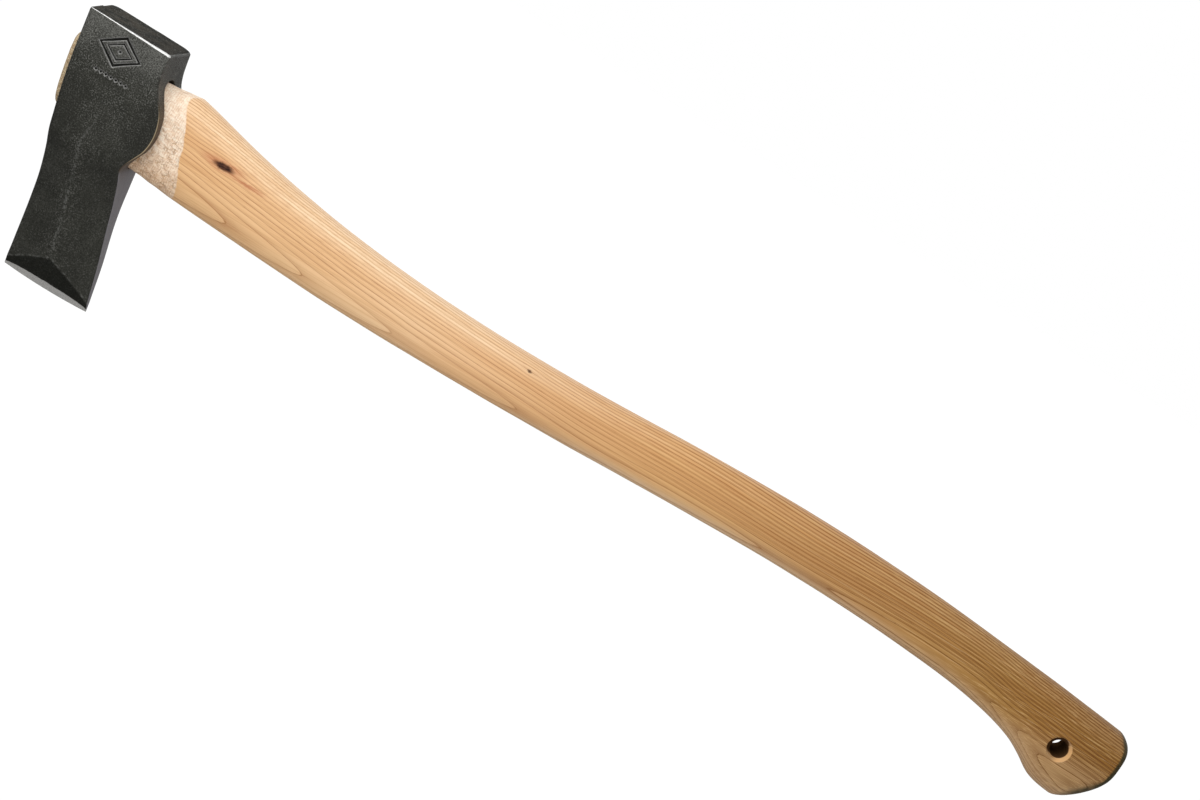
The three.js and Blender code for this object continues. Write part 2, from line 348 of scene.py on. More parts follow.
handle_lines = curve([
    [SHOULDER_X, 28.9, -29.3, 15], [104, 15.7, -32.1, 14.6], [164, 7, -34.3, 13.8],
    [234, 2.8, -34.1, 13], [304, 3.2, -32.3, 12.6], [404, 8.1, -28, 12.5],
    [470, 9.8, -26.4, 12.5], [550, 7.4, -28.8, 12.8], [604, 3.3, -34.6, 13.3],
    [628, 1.2, -41.1, 13.9], [638, 0.3, -46.2, 14.2], [650, -0.9, -53.4, 14.4],
    [HEEL_X, -2.5, -56.4, 14.5], [BUTT_X, -5.2, -56.4, 14.5],
])
# Where the rasped neck ends in X, at degrees from the top and down the near side.
neck_end = curve([
    [0, 44.5], [28, 40.6], [52, 43.6], [72, 48.2], [96, 53.6], [118, 57.6], [138, 59.2],
    [160, 58.4], [180, 55.5], [205, 54.0], [232, 55.4], [255, 54.0], [290, 48.5], [330, 42.6],
    [360, 44.5],
])
handle_core = ([23, 46, 164, 304, 470, 604, 690], [0, 0, -14, -14.5, -8, -16, -28])


def rounded(share, power):
    return (1 - np.clip(share, 0, 1) ** power) ** (1 / power)


def eye_section(x):
    """Top, bottom, half width, lean and gap of the eye at x."""
    share = min(max((x - END_X) / (MOUTH_X - END_X), 0), 1)
    top, bottom, half = (mix(c, m, share) for c, m in zip(CROWN, MOUTH))
    return top, bottom, half, mix(LEAN, 0, share), NECK_GAP * share


def oval(x, top, bottom, half, power, lean=0.0):
    """A superellipse standing across X, leaning if asked."""
    y = half * np.sign(SIN) * np.abs(SIN) ** (2 / power)
    z = (top + bottom) / 2 + (top - bottom) / 2 * np.sign(COS) * np.abs(COS) ** (2 / power)
    return np.stack([x - lean * z, y, z], 1)


def tongue_loop(x, inset=0.0):
    top, bottom, half, lean, gap = eye_section(x)
    play = FIT + inset
    return oval(x, top - gap - play, bottom + play, half - play, EYE_POWER, lean)


def handle_shape(x):
    """Top, bottom, half width and power of the handle past the neck."""
    top, bottom, half = handle_lines(x)
    horn = rounded((x - HORN_X) / (BUTT_X - HORN_X), HORN_POWER)
    heel = rounded((x - HEEL_X) / (BUTT_X - HEEL_X), HEEL_POWER)
    top = np.where(x > HORN_X, mix(HORN_Z, top, horn), top)
    bottom = np.where(x > HEEL_X, mix(HEEL_Z, bottom, heel), bottom)
    half = half - BUTT_EASE * (1 - rounded((x - BUTT_X + BUTT_EASE) / BUTT_EASE, 2))
    return top, bottom, half, mix(GRIP_POWER, KNOB_POWER, smoothstep(x, 560, 650))


def handle_loop(x):
    return oval(x, *handle_shape(np.broadcast_to(np.asarray(x, float), COS.shape)))


def shrink(loop, shares):
    """Loops that close a flat end towards its centre."""
    centre = loop.mean(0)
    return [centre + (loop - centre) * share for share in shares]


def handle_blank():
    """The handle before its cuts, and where the neck ends round it."""
    loops = []
    edge = tongue_loop(TONGUE_END, TONGUE_ROUND)
    loops += shrink(edge, np.linspace(0.04, 0.96, 12))
    for turn in np.linspace(0, math.pi / 2, 6):
        depth = TONGUE_ROUND * (1 - math.cos(turn))
        loops.append(tongue_loop(TONGUE_END + depth, TONGUE_ROUND * (1 - math.sin(turn))))
    loops += [tongue_loop(x) for x in np.linspace(END_X, MOUTH_X, 14)]
    turned = -np.degrees(ANGLE)
    round_neck = np.stack([turned / 3, 0 * turned, 0 * turned], 1)
    end = neck_end(turned)[0] + 0.35 * rough(round_neck, 3, 5)
    mouth, shoulder = tongue_loop(MOUTH_X), handle_loop(end)
    for share in np.linspace(0, 1, 27)[1:]:
        loops.append(mix(mouth, shoulder, share))
    loops += [handle_loop(mix(end, 92, share)) for share in np.linspace(0, 1, 24)[1:]]
    stations = [*np.arange(94.5, 600, 2.5), *np.linspace(600, HEEL_X, 45)]
    stations += list(HEEL_X + (BUTT_X - HEEL_X) * np.sin(np.linspace(0, math.pi / 2, 30)[1:]))
    loops += [handle_loop(x) for x in stations]
    loops += shrink(loops[-1], np.linspace(0.95, 0.03, 12))
    points, faces = loft(np.array(loops))
    # shaved and rasped by hand: shallow hollows, only ever inwards
    centre = np.interp(points[:, 0], *handle_core)
    out = np.stack([0 * centre, points[:, 1], points[:, 2] - centre], 1)
    out /= np.maximum(np.linalg.norm(out, axis=1), 1e-6)[:, None]
    neck = smoothstep(points[:, 0], 24, 30) * (1 - smoothstep(points[:, 0], 40, 58))
    hollow = 0.22 * (1 + rough(points, (30, 9, 9), 6)) / 2
    hollow = hollow + neck * 0.55 * (1 + rough(points, (7, 3.5, 3.5), 7)) / 2
    points -= out * (hollow * smoothstep(points[:, 0], 22, 30))[:, None]
    ends = 1 - smoothstep(points[:, 0], TONGUE_END - 4, END_X)
    points[:, 0] += ends * 0.25 * (1 + rough(points, 2.2, 8)) / 2
    return body("handle_blank", points, faces), turned, end


def eye_tool():
    """The eye follows the handle's entry, so that the lugs hug the wood."""
    loops = []
    for x in [-60, *np.linspace(END_X, MOUTH_X, 12)]:
        top, bottom, half, lean, _ = eye_section(x)
        loops.append(oval(x, top, bottom, half, EYE_POWER, lean))
    mouth, shoulder = tongue_loop(MOUTH_X), handle_loop(SHOULDER_X)
    for share in np.linspace(0, 1, 10)[1:]:
        wood = mix(mouth, shoulder, share)
        top, bottom, half = wood[:, 2].max(), wood[:, 2].min(), wood[:, 1].max()
        x = mix(MOUTH_X, SHOULDER_X, share)
        loops.append(oval(x, top + NECK_GAP + FIT, bottom - FIT, half + FIT, EYE_POWER))
    return body("eye_tool", *loft(np.array(loops)))


def slab_tool(play):
    """The wooden wedge's slab, thick end outwards, grown by play all round."""
    rise = (KERF_MOUTH - KERF_ROOT) / 2 / (KERF_ROOT_X - TONGUE_END)
    back, root = TONGUE_END - 20, KERF_ROOT_X + play
    wide, thin = KERF_MOUTH / 2 + 20 * rise + play, KERF_ROOT / 2 + play
    loops = []
    for z in np.linspace(-40, 40, 41):
        x = np.linspace(back, root, 30)
        row = np.stack([x, -mix(wide, thin, (x - back) / (root - back)), 0 * x + z], 1)
        loops.append(np.vstack([row, row[::-1] * [1, -1, 1]]))
    return body("slab_tool", *loft(np.array(loops)))


def to_tongue(points):
    """From a ring turned about Y to one that stands on the end of the tongue."""
    tilt = math.atan(LEAN)
    along, across, up = points[:, 1], points[:, 0], points[:, 2]
    x = along * math.cos(tilt) - up * math.sin(tilt)
    z = along * math.sin(tilt) + up * math.cos(tilt)
    return np.stack([x + TONGUE_END, across, z], 1)


def ring_tool():
    """The groove that the ring wedge leaves, open to the end of the tongue."""
    outer, tip, inner = RING_OUTER + FIT, RING_TIP + FIT, RING_INNER - FIT
    deep = RING_DEPTH + FIT
    points, faces = lathe([(inner, -20), (outer, -20), (outer, 0), (tip, deep), (inner, deep)], 96)
    return body("ring_tool", to_tongue(points), faces)


def ring_wedge():
    """The steel ring, with a rolled outer lip that hammer blows have dulled."""
    profile = [(RING_INNER + 0.25, 0.0), (RING_INNER, 0.3)]
    profile += [(RING_INNER, y) for y in np.linspace(1, RING_DEPTH, 8)]
    for y in np.linspace(RING_DEPTH, 0.6, 9):
        profile.append((mix(RING_OUTER, RING_TIP, y / RING_DEPTH), y))
    profile += [(RING_OUTER - 0.12, 0.25), (RING_OUTER - 0.4, 0.05)]
    points, faces = lathe(profile, 120)
    lip = 1 - smoothstep(points[:, 1], 0.0, 0.8)
    points[:, 1] += lip * 0.22 * (1 + rough(points, 1.6, 9)) / 2
    return body("ring_wedge_steel", to_tongue(points), faces)


def hole_tool():
    """The hanging hole: narrowest in the middle, with a chamfer at both faces."""
    face = float(handle_lines(HOLE_X)[2])
    throat = face - HOLE_CHAMFER
    flare = [(0.0, 0.0), (0.25, 0.3), (0.7, 0.75), (6.2, 6.0)]
    side = [(HOLE_RADIUS + r, throat + y) for r, y in flare]
    profile = [(0.0, -throat - 6), *[(r, -y) for r, y in side[::-1]]]
    for y in np.linspace(-throat, throat, 17)[1:-1]:
        profile.append((HOLE_RADIUS - 0.45 * (1 - (y / throat) ** 2), y))
    profile += [*side, (0.0, throat + 6)]
    points, faces = lathe(profile, 72)
    return body("hole_tool", points + [HOLE_X, 0, HOLE_Z], faces)


def touchmark_tools():
    """A plain lozenge mark: two diamond grooves, then the punches in and under them."""
    face = -CHEEK_HALF + 0.2

    def groove(wide, tall, width, deep):
        """A V-groove along the outline of a diamond, as a ring with three edges."""
        points = []
        for u, w in [(-1, 0), (0, -1), (1, 0), (0, 1)]:
            for step, y in [(-width, face - 0.8), (0, face + deep), (width, face - 0.8)]:
                points.append([MARK_X + u * (wide + step), y, MARK_Z + w * (tall + step)])
        faces = []
        for i in range(4):
            a, b = 3 * i, 3 * ((i + 1) % 4)
            faces += [[a + k, a + (k + 1) % 3, b + (k + 1) % 3, b + k] for k in range(3)]
        return body("groove", points, faces)

    points, faces = [], []

    def punch(u, w, wide, tall, deep):
        """A pyramid sunk into the cheek."""
        base = len(points)
        for i, k in [(-wide, 0), (0, -tall), (wide, 0), (0, tall)]:
            points.append([MARK_X + u + 2 * i, face - deep, MARK_Z + w + 2 * k])
        points.append([MARK_X + u, face + deep, MARK_Z + w])
        faces.append([base, base + 1, base + 2, base + 3])
        faces.extend([[base + i, base + 4, base + (i + 1) % 4] for i in range(4)])

    punch(0, 0, 1.5, 1.3, 1.2)
    for u in (-9.6, -6.4, -3.2, 0.0, 3.2, 6.4, 9.6):
        punch(u + 2.2, -15.0, 1.5, 1.3, 1.4)
    punches = body("punches", points, faces)
    return [groove(12.4, 8.6, 2.3, 1.3), groove(7.6, 5.0, 1.5, 1.1), punches]


# ---- Materials ----
class Look:
    """Short names for the nodes of a material or of the world."""

    def __init__(self, owner):
        owner.use_nodes = True
        self.owner, self.tree = owner, owner.node_tree
        self.tree.nodes.clear()

    def node(self, kind, inputs, **settings):
        made = self.tree.nodes.new("ShaderNode" + kind)
        for key, value in settings.items():
            setattr(made, key, value)
        for key, value in inputs.items():
            if isinstance(value, bpy.types.NodeSocket):
                self.tree.links.new(value, made.inputs[key])
            elif value is not None:
                made.inputs[key].default_value = value
        return made

    def math(self, operation, a, b=None):
        return self.node("Math", {0: a, 1: b}, operation=operation).outputs[0]

    def add(self, a, b):
        return self.math("ADD", a, b)

    def sub(self, a, b):
        return self.math("SUBTRACT", a, b)

    def mul(self, a, b, *more):
        product = self.math("MULTIPLY", a, b)
        for factor in more:
            product = self.math("MULTIPLY", product, factor)
        return product

    def most(self, a, b):
        return self.math("MAXIMUM", a, b)

    def span(self, value, low, high, start=0, end=1, kind="SMOOTHSTEP"):
        """value from low..high to start..end, smoothly unless kind says otherwise."""
        keys = {0: value, 1: low, 2: high, 3: start, 4: end}
        return self.node("MapRange", keys, interpolation_type=kind).outputs[0]

    def place(self):
        """Millimetres from the centre of the eye."""
        here = self.node("TexCoord", {}).outputs["Object"]
        shifted = self.node("VectorMath", {0: here, 1: tuple(-EYE)}, operation="ADD").outputs[0]
        return self.stretch(shifted, (1000, 1000, 1000))

    def stretch(self, vector, factors):
        return self.node("VectorMath", {0: vector, 1: factors}, operation="MULTIPLY").outputs[0]

    def facing(self):
        return self.node("NewGeometry", {}).outputs["Normal"]

    def parts(self, vector):
        split = self.node("SeparateXYZ", {0: vector})
        return split.outputs[0], split.outputs[1], split.outputs[2]

    def noise(self, vector, sizes, detail=3, roughness=0.55, seed=0):
        """0 to 1, with features of the given sizes in mm."""
        sizes = sizes if isinstance(sizes, tuple) else (sizes,) * 3
        scaled = self.stretch(vector, tuple(1 / s for s in sizes))
        keys = {"Vector": scaled, "W": seed, "Scale": 1}
        keys |= {"Detail": detail, "Roughness": roughness}
        return self.node("TexNoise", keys, noise_dimensions="4D").outputs["Fac"]

    def drift(self, vector, sizes, seed, by):
        """Noise that strays from 0 by up to half of by."""
        return self.mul(self.sub(self.noise(vector, sizes, 3, seed=seed), 0.5), by)

    def random(self, value):
        """A number from 0 to 1 that changes with value and has no pattern."""
        return self.node("TexWhiteNoise", {"W": value}, noise_dimensions="1D").outputs["Value"]

    def blob(self, x, z, centre, radii, low):
        """1 in the middle of an oval in side view, falling from the share low to its outline."""
        u = self.mul(self.sub(x, centre[0]), 1 / radii[0])
        w = self.mul(self.sub(z, centre[1]), 1 / radii[1])
        far = self.math("SQRT", self.add(self.mul(u, u), self.mul(w, w)))
        return self.span(far, low, 1, 1, 0)

    def flakes(self, vector, sizes):
        """1 on the thin outlines of irregular flakes of the given sizes in mm."""
        bent = self.node("TexNoise", {"Vector": vector, "Scale": 0.35, "Detail": 3})
        bend = self.stretch(bent.outputs["Color"], (2.6, 2.6, 2.6))
        moved = self.node("VectorMath", {0: vector, 1: bend}, operation="ADD").outputs[0]
        scaled = self.stretch(moved, tuple(1 / s for s in sizes))
        keys = {"Vector": scaled, "Scale": 1}
        cells = self.node("TexVoronoi", keys, feature="DISTANCE_TO_EDGE")
        return self.span(cells.outputs["Distance"], 0.09, 0.02)

    def ramp(self, value, stops):
        """The colours, or greys, of stops along value, in straight steps."""
        made = self.node("ValToRGB", {0: value})
        cells = made.color_ramp.elements
        while len(cells) < len(stops):
            cells.new(0.5)
        for cell, (at, colour) in zip(cells, stops):
            cell.position = at
            cell.color = (*colour, 1) if isinstance(colour, tuple) else (*(colour,) * 3, 1)
        return made.outputs[0]

    def blend(self, share, a, b, how="MIX"):
        made = self.node("Mix", {0: share}, data_type="RGBA", blend_type=how)
        for index, colour in ((6, a), (7, b)):
            if isinstance(colour, bpy.types.NodeSocket):
                self.tree.links.new(colour, made.inputs[index])
            else:
                made.inputs[index].default_value = (*colour, 1)
        return made.outputs[2]

    def attribute(self, name):
        return self.node("Attribute", {}, attribute_name=name).outputs["Fac"]

    def bump(self, height, depth, normal=None, strength=1):
        """Height of 0 to 1 as a bump that is depth mm deep."""
        keys = {"Height": height, "Distance": depth * MM, "Strength": strength, "Normal": normal}
        return self.node("Bump", keys).outputs[0]

    def surface(self, **inputs):
        keys = {key.replace("_", " "): value for key, value in inputs.items()}
        shader = self.node("BsdfPrincipled", keys)
        self.node("OutputMaterial", {"Surface": shader.outputs[0]})
        return self.owner


def lug_edge(look, x, y, z, facing):
    """1 on the inner side of the lugs, which is painted brown, and, second, on their edge, where a
    highlight is painted.
    """
    lug = look.mul(look.span(x, 24, 27), look.span(z, -30, -26), look.span(z, 20, 10))
    outward = look.span(look.parts(facing)[0], 0.35, 0.7)
    corner = look.span(look.math("ABSOLUTE", y), 20.8, 21.3)
    return look.mul(lug, outward), look.mul(lug, look.mul(corner, outward))


def ground_strip(look, here, x, z):
    """1 on the strip ground along the edge, and the scratches that run across it."""
    across = look.mul(look.sub(x, EDGE_MIDDLE), 1 / EDGE_REACH)
    inward = look.sub(1, look.mul(across, across))
    above = look.add(look.sub(z, EDGE_Z), look.mul(inward, EDGE_BELLY))
    width = look.math("POWER", look.most(inward, 0), 0.6)
    width = look.add(1.3, look.mul(width, 3.2))
    width = look.add(width, look.drift(here, 4, 5, 1.1))
    scratch = look.noise(here, (0.35, 0.35, 7), 3, 0.7, seed=6)
    return look.span(look.sub(width, above), -0.15, 0.2), scratch


def forged_steel():
    look = Look(bpy.data.materials.new("forged_steel"))
    here = look.place()
    x, y, z = look.parts(here)
    facing = look.facing()
    facing_x, _, facing_z = look.parts(facing)
    side_on = look.span(look.math("ABSOLUTE", facing_x), 0.6, 0.9)
    on_near = look.span(y, -19, -20.5)
    broad = look.noise(here, 11, 4, seed=1)
    grain = look.noise(here, 0.8, 3, 0.62, seed=2)
    patchy = look.noise(here, 5, 3, 0.6, seed=8)
    fine = look.noise(here, 0.45, 2, 0.6, seed=3)

    # black scale, with painted shade that makes it darkest on the bevel, which faces down, and
    # pale flecks painted as glints of small facets, stronger higher up as painted light
    low = look.most(look.attribute("bevel"), 0)
    scale = look.blend(look.span(broad, 0.3, 0.7), (0.0085, 0.0088, 0.0072),
                       (0.0185, 0.0187, 0.0157))
    # painted shade: the bevel darker
    scale = look.blend(look.mul(low, 0.75), scale, (0.0038, 0.0041, 0.0030))
    # painted glints: pale flecks, more of them higher up and fewer on the bevel
    lift = look.mul(look.span(z, -40, 34, 0.25, 0.9), look.sub(1, look.mul(low, 0.6)),
                    look.span(patchy, 0.35, 0.62, 0.35, 1))
    glint_flecks = look.mul(look.span(grain, 0.50, 0.64), lift)
    scale = look.blend(glint_flecks, scale, (0.15, 0.15, 0.14))
    scale = look.blend(look.span(grain, 0.47, 0.38, 0, 0.8), scale, (0.0015, 0.0015, 0.0013))

    # a painted reflection makes the cheeks paler near the poll; worn paler along the ridge;
    # painted shade on the lugs, and darker over the eye's far end
    # painted reflection: paler near the poll
    poll_reflection = look.mul(look.span(z, 14, 42), look.span(broad, 0.28, 0.62, 0.3, 0.8),
                       look.span(grain, 0.36, 0.6, 0.2, 1))
    scale = look.blend(poll_reflection, scale, (0.125, 0.125, 0.116))
    # painted shade: darker on the lugs; also darker over the eye's far end
    lug = look.mul(look.span(x, 16, 30), look.span(z, 22, 8), look.span(z, -34, -20))
    far_end = look.mul(look.span(x, -4, -14), look.span(z, 16, 2),
                       look.span(z, -40, -24))
    scale = look.blend(look.most(lug, far_end), scale, (0.55, 0.55, 0.55), "MULTIPLY")
    ridge = look.mul(look.attribute("ridge"), look.span(grain, 0.54, 0.62))
    scale = look.blend(look.mul(ridge, 0.40), scale, (0.13, 0.128, 0.12))

    # the poll's face: mottled brown, and painted darker than the cheeks as shade
    top = look.mul(look.span(z, POLL_Z - 1.2, POLL_Z - 0.5), look.span(facing_z, 0.75, 0.95))
    stain = look.blend(look.span(broad, 0.40, 0.60), (0.011, 0.0115, 0.0085),
                       (0.034, 0.029, 0.021))
    stain = look.blend(look.mul(glint_flecks, 0.6), stain, (0.12, 0.118, 0.105))
    stain = look.blend(look.span(x, -12, 14, 0, 0.35), stain, (0.004, 0.003, 0.002))
    # painted shade on the poll's face
    scale = look.blend(look.mul(top, 0.95), scale, stain)

    # broken bright lines on the creases; ground streaks on the sides, painted lighter as sheen,
    # and a painted bluish reflection on the bit's sides
    broken = look.span(look.noise(here, 2.6, 3, 0.7, seed=7), 0.46, 0.60)
    broken = look.mul(look.attribute("crease"), broken, 0.7)
    scale = look.blend(broken, scale, (0.095, 0.095, 0.09))
    streaks = look.noise(here, (6, 0.5, 0.9), 3, 0.65, seed=4)
    # painted reflection of the bright surroundings on the bit's sides
    bit_side = look.mul(side_on, look.span(z, -18, -34))
    side_reflection = look.blend(look.span(streaks, 0.35, 0.7), (0.21, 0.197, 0.22), (0.38, 0.36, 0.39))
    scale = look.blend(look.mul(bit_side, 0.9), scale, side_reflection)
    # painted sheen on the side faces, in streaks
    streaks_and_sheen = look.mul(look.mul(side_on, 0.5), look.span(streaks, 0.4, 0.66))
    scale = look.blend(streaks_and_sheen, scale, (0.08, 0.079, 0.075))

    # the mark: pale steel walls, and painted shade in the bottoms of its grooves
    stamped = look.mul(look.blob(x, z, (MARK_X, MARK_Z - 3), (19, 18), 0.9), on_near)
    wall = look.mul(look.span(y, -21.45, -21.3), stamped)
    scale = look.blend(look.mul(wall, 0.9), scale, (0.34, 0.34, 0.33))
    # painted shade: near black in the grooves' bottoms
    sunk = look.mul(look.span(y, -21.2, -21), stamped)
    scale = look.blend(sunk, scale, (0.0015, 0.0015, 0.0015))

    # worn corners show steel; the poll's near chamfer is polished, and painted near white as a
    # highlight
    bevel = look.node("Bevel", {"Radius": 0.9 * MM}, samples=6).outputs[0]
    straight = look.node("VectorMath", {0: bevel, 1: facing}, operation="DOT_PRODUCT")
    worn = look.mul(look.span(straight.outputs["Value"], 0.99, 0.90),
                    look.span(grain, 0.34, 0.56, 0.35, 1),
                    look.sub(look.add(0.55, look.mul(stamped, 0.45)), sunk))
    polished_and_highlit = look.mul(look.span(z, POLL_Z - 1.75, POLL_Z - 1.45), look.span(y, -19.8, -20.1),
                        look.span(facing_z, 0.25, 0.5), look.span(facing_z, 0.93, 0.85))
    worn = look.most(worn, polished_and_highlit)
    steel = look.blend(look.span(fine, 0.3, 0.7), (0.24, 0.235, 0.228), (0.36, 0.355, 0.345))
    colour = look.blend(look.mul(worn, 0.8), scale, steel)
    # painted highlight on the polished chamfer
    polished_and_highlit = look.mul(polished_and_highlit, look.span(grain, 0.30, 0.42, 0.5, 0.95))
    colour = look.blend(polished_and_highlit, colour, (0.72, 0.72, 0.71))
    # the lugs' inner sides painted brown, and a painted highlight in tan along their edge,
    # strongest low down
    inner, edge = lug_edge(look, x, y, z, facing)
    colour = look.blend(look.mul(inner, 0.6), colour, (0.10, 0.062, 0.034))
    edge = look.mul(edge, look.span(z, 16, 0, 0.4, 0.9))
    colour = look.blend(edge, colour, (0.55, 0.44, 0.28))

    ground, scratch = ground_strip(look, here, x, z)
    bright = look.blend(look.span(scratch, 0.3, 0.7), (0.34, 0.335, 0.32), (0.60, 0.59, 0.57))
    colour = look.blend(ground, colour, bright)

    bare = look.most(ground, look.mul(worn, 0.6))
    dull = look.sub(look.add(0.54, look.mul(top, 0.15)), look.mul(glint_flecks, 0.2))
    roughness = look.add(look.mul(dull, look.sub(1, bare)), look.mul(bare, 0.36))
    gloss = look.mul(look.sub(1, look.mul(top, 0.88)), look.sub(0.275, look.mul(low, 0.17)))
    pits = look.add(look.mul(grain, 0.75), look.mul(fine, 0.25))
    normal = look.bump(broad, 0.5, bevel, 0.6)
    normal = look.bump(look.mul(pits, look.sub(1, look.mul(ground, 0.85))), 0.5, normal)
    lines = look.mul(scratch, look.most(ground, bit_side))
    return look.surface(Base_Color=colour, Roughness=roughness, Metallic=look.mul(bare, 0.85),
                        Normal=look.bump(lines, 0.03, normal), Specular_IOR_Level=gloss,
                        Specular_Tint=(1, 1, 0.86, 1))


def growth_lines(look, here, x):
    """1 on the late wood of each growth ring, and the ring's number."""
    steep = look.attribute("steep")
    waver = look.drift(here, (45, 9, 9), 11, look.span(steep, 0.05, 0.6, 0, 0.55))
    ring = look.add(look.attribute("ring"), waver)
    part, index = look.math("FRACT", ring), look.math("FLOOR", ring)
    chance = look.random(index)
    soft = look.ramp(part, [(0, 0.46), (0.26, 0.20), (0.60, 0.04), (0.97, 0), (1, 0.46)])
    soft = look.mul(soft, look.span(steep, 0.5, 0.1, 1, 1.4))
    off = look.math("MINIMUM", part, look.sub(1, part))
    crisp = look.span(look.math("DIVIDE", off, look.add(steep, 0.05)), 0.27, 0.10)
    line = look.most(crisp, soft)
    line = look.mul(line, look.span(chance, 0, 1, 0.6, 1))
    thin = look.math("FRACT", look.mul(ring, 2))
    thin = look.span(look.math("ABSOLUTE", look.sub(thin, 0.5)), 0.17, 0.05)
    half_line = look.mul(look.span(chance, 1, 0, 0.1, 0.5),
                         look.span(x, 250, 560, 1, 1.7), look.span(steep, 0.25, 0.55))
    return look.most(line, look.mul(thin, half_line)), index


def handle_tones(look, here, x, z, facing_z):
    """The wood's ground colour, darker and redder towards the butt, partly its own tone and partly
    painted falloff of light, with painted sheen.
    """
    length = look.mul(look.add(x, 60), 1 / 760)
    # partly painted light: the ramp holds the falloff of light from the head to the butt
    pale = look.ramp(length, [
        (0, (0.75, 0.47, 0.24)), (0.13, (0.75, 0.475, 0.24)), (0.29, (0.80, 0.53, 0.29)),
        (0.36, (0.82, 0.56, 0.325)), (0.42, (0.78, 0.50, 0.265)), (0.50, (0.69, 0.41, 0.185)),
        (0.58, (0.68, 0.405, 0.165)), (0.72, (0.54, 0.305, 0.110)), (0.87, (0.41, 0.228, 0.064)),
        (0.92, (0.36, 0.186, 0.044)), (1, (0.29, 0.150, 0.033)),
    ])
    # painted sheen on the faces turned up, near the head
    top_sheen = look.mul(look.span(facing_z, 0.05, 0.6), look.span(x, 400, 200, 0.1, 0.7))
    pale = look.blend(top_sheen, pale, (0.90, 0.71, 0.49))
    # painted reflection: paler on the faces turned down
    under = look.mul(look.span(facing_z, -0.1, -0.8, 0, 0.75),
                     look.span(x, 240, 350, 0, 1), look.span(x, 400, 620, 1, 0.75))
    pale = look.blend(under, pale, (0.79, 0.60, 0.41))
    # painted reflection: paler on the knob's lower side
    heel = look.mul(look.span(x, 590, 640), look.span(z, -20, -36, 0, 0.24))
    pale = look.blend(heel, pale, (0.66, 0.50, 0.34))
    patch = look.noise(here, (90, 16, 12), 3, seed=12)
    return look.blend(look.span(patch, 0.35, 0.7, 0, 0.45), pale, (0.90, 0.82, 0.72), "MULTIPLY")


def rasped_neck(look, here, x, z, tear):
    """1 on the rasped neck, then its colour and the height of its torn fibres."""
    band = look.add(look.attribute("band"), look.drift(here, 2.6, 15, 1.4))
    warped = look.add(x, look.drift(here, 5, 24, 3))
    teeth = look.math("FRACT", look.mul(warped, 1 / 1.35))
    teeth = look.mul(look.span(teeth, 0.45, 0.85),
                     look.span(look.noise(here, 2.4, 2, seed=19), 0.4, 0.55))
    flake = look.mul(look.flakes(here, (4.4, 2.2, 2.2)),
                     look.span(look.noise(here, 4, 2, seed=25), 0.42, 0.58),
                     look.span(z, 18, 0, 0.1, 1))
    raw = look.blend(look.span(tear, 0.40, 0.60), (0.80, 0.61, 0.45), (0.97, 0.86, 0.72))
    raw = look.blend(look.mul(teeth, 0.55), raw, (0.66, 0.42, 0.26))
    raw = look.blend(look.mul(flake, 0.6), raw, (0.50, 0.30, 0.16))
    # painted shade: the rasped neck darker towards the bottom
    raw = look.blend(look.span(z, 0, -28, 0, 0.5), raw, (0.72, 0.50, 0.30), "MULTIPLY")
    lip = look.mul(look.span(band, 2.6, 1.2), look.span(tear, 0.3, 0.5))
    raw = look.blend(look.mul(lip, 0.3), raw, (0.95, 0.80, 0.62))
    torn = look.sub(look.mul(tear, 0.8), look.add(look.mul(teeth, 0.5), look.mul(flake, 0.6)))
    return look.span(band, -0.5, 0.5), raw, torn


def with_knots(look, here, colour, fibre, tear):
    """The colour with its two knots, and 1 on their cores."""
    x, y, z = look.parts(here)
    on_near = look.span(y, 0, -4)
    ragged = look.add(z, look.drift(here, 2, 17, 2.2))
    halo = look.mul(look.blob(x, ragged, (76.5, 5.3), (19, 5), 0.15), on_near)
    tail = look.mul(look.blob(x, ragged, (94, 2.6), (17, 1.9), 0.1), on_near)
    halo = look.most(look.mul(halo, 0.85), look.mul(tail, 0.8))
    halo = look.mul(halo, look.span(fibre, 0.3, 0.6, 0.55, 1))
    colour = look.blend(halo, colour, (0.42, 0.13, 0.05))
    core = look.mul(look.blob(x, ragged, (76.6, 4.9), (8.6, 2.7), 0.40), on_near)
    bark = look.blend(look.span(tear, 0.4, 0.6), (0.018, 0.008, 0.006), (0.09, 0.035, 0.02))
    colour = look.blend(core, colour, bark)
    pin = look.mul(look.blob(x, ragged, PIN_KNOT, (2.4, 1), 0.2), on_near)
    colour = look.blend(look.mul(pin, 0.9), colour, (0.08, 0.035, 0.02))
    return colour, look.most(core, pin)


def with_hole(look, x, y, z, colour):
    """The colour with the hole's rim paler on its lower side, partly fresh wood and partly painted
    light, painted shade inside the hole and on its upper chamfer, and 1 inside the hole.
    """
    centre = (HOLE_X, HOLE_Z)
    flare = look.blob(x, z, centre, (8.9, 8.9), 0.93)
    depth = look.span(look.math("ABSOLUTE", y), 14.3, 14)
    bore = look.blob(x, z, centre, (5.9, 5.9), 0.93)
    # painted shade over the upper side of the chamfer
    shade = look.mul(look.blob(x, z, (HOLE_X - 1.9, HOLE_Z + 1.5), (7, 7), 0.86),
                     look.span(y, 0, -6))
    rim = look.mul(flare, depth)
    inside = look.most(bore, look.mul(shade, rim))
    # painted light on the rim's lower side
    lower = look.sub(look.mul(look.sub(x, HOLE_X), 0.95), look.mul(look.sub(z, HOLE_Z), 0.3))
    worn = look.mul(rim, look.span(lower, 0.5, 5, 0.05, 0.85))
    colour = look.blend(worn, colour, (0.70, 0.40, 0.17))
    # painted shade: near black inside the hole
    return look.blend(look.mul(inside, 0.95), colour, (0.035, 0.015, 0.006)), inside


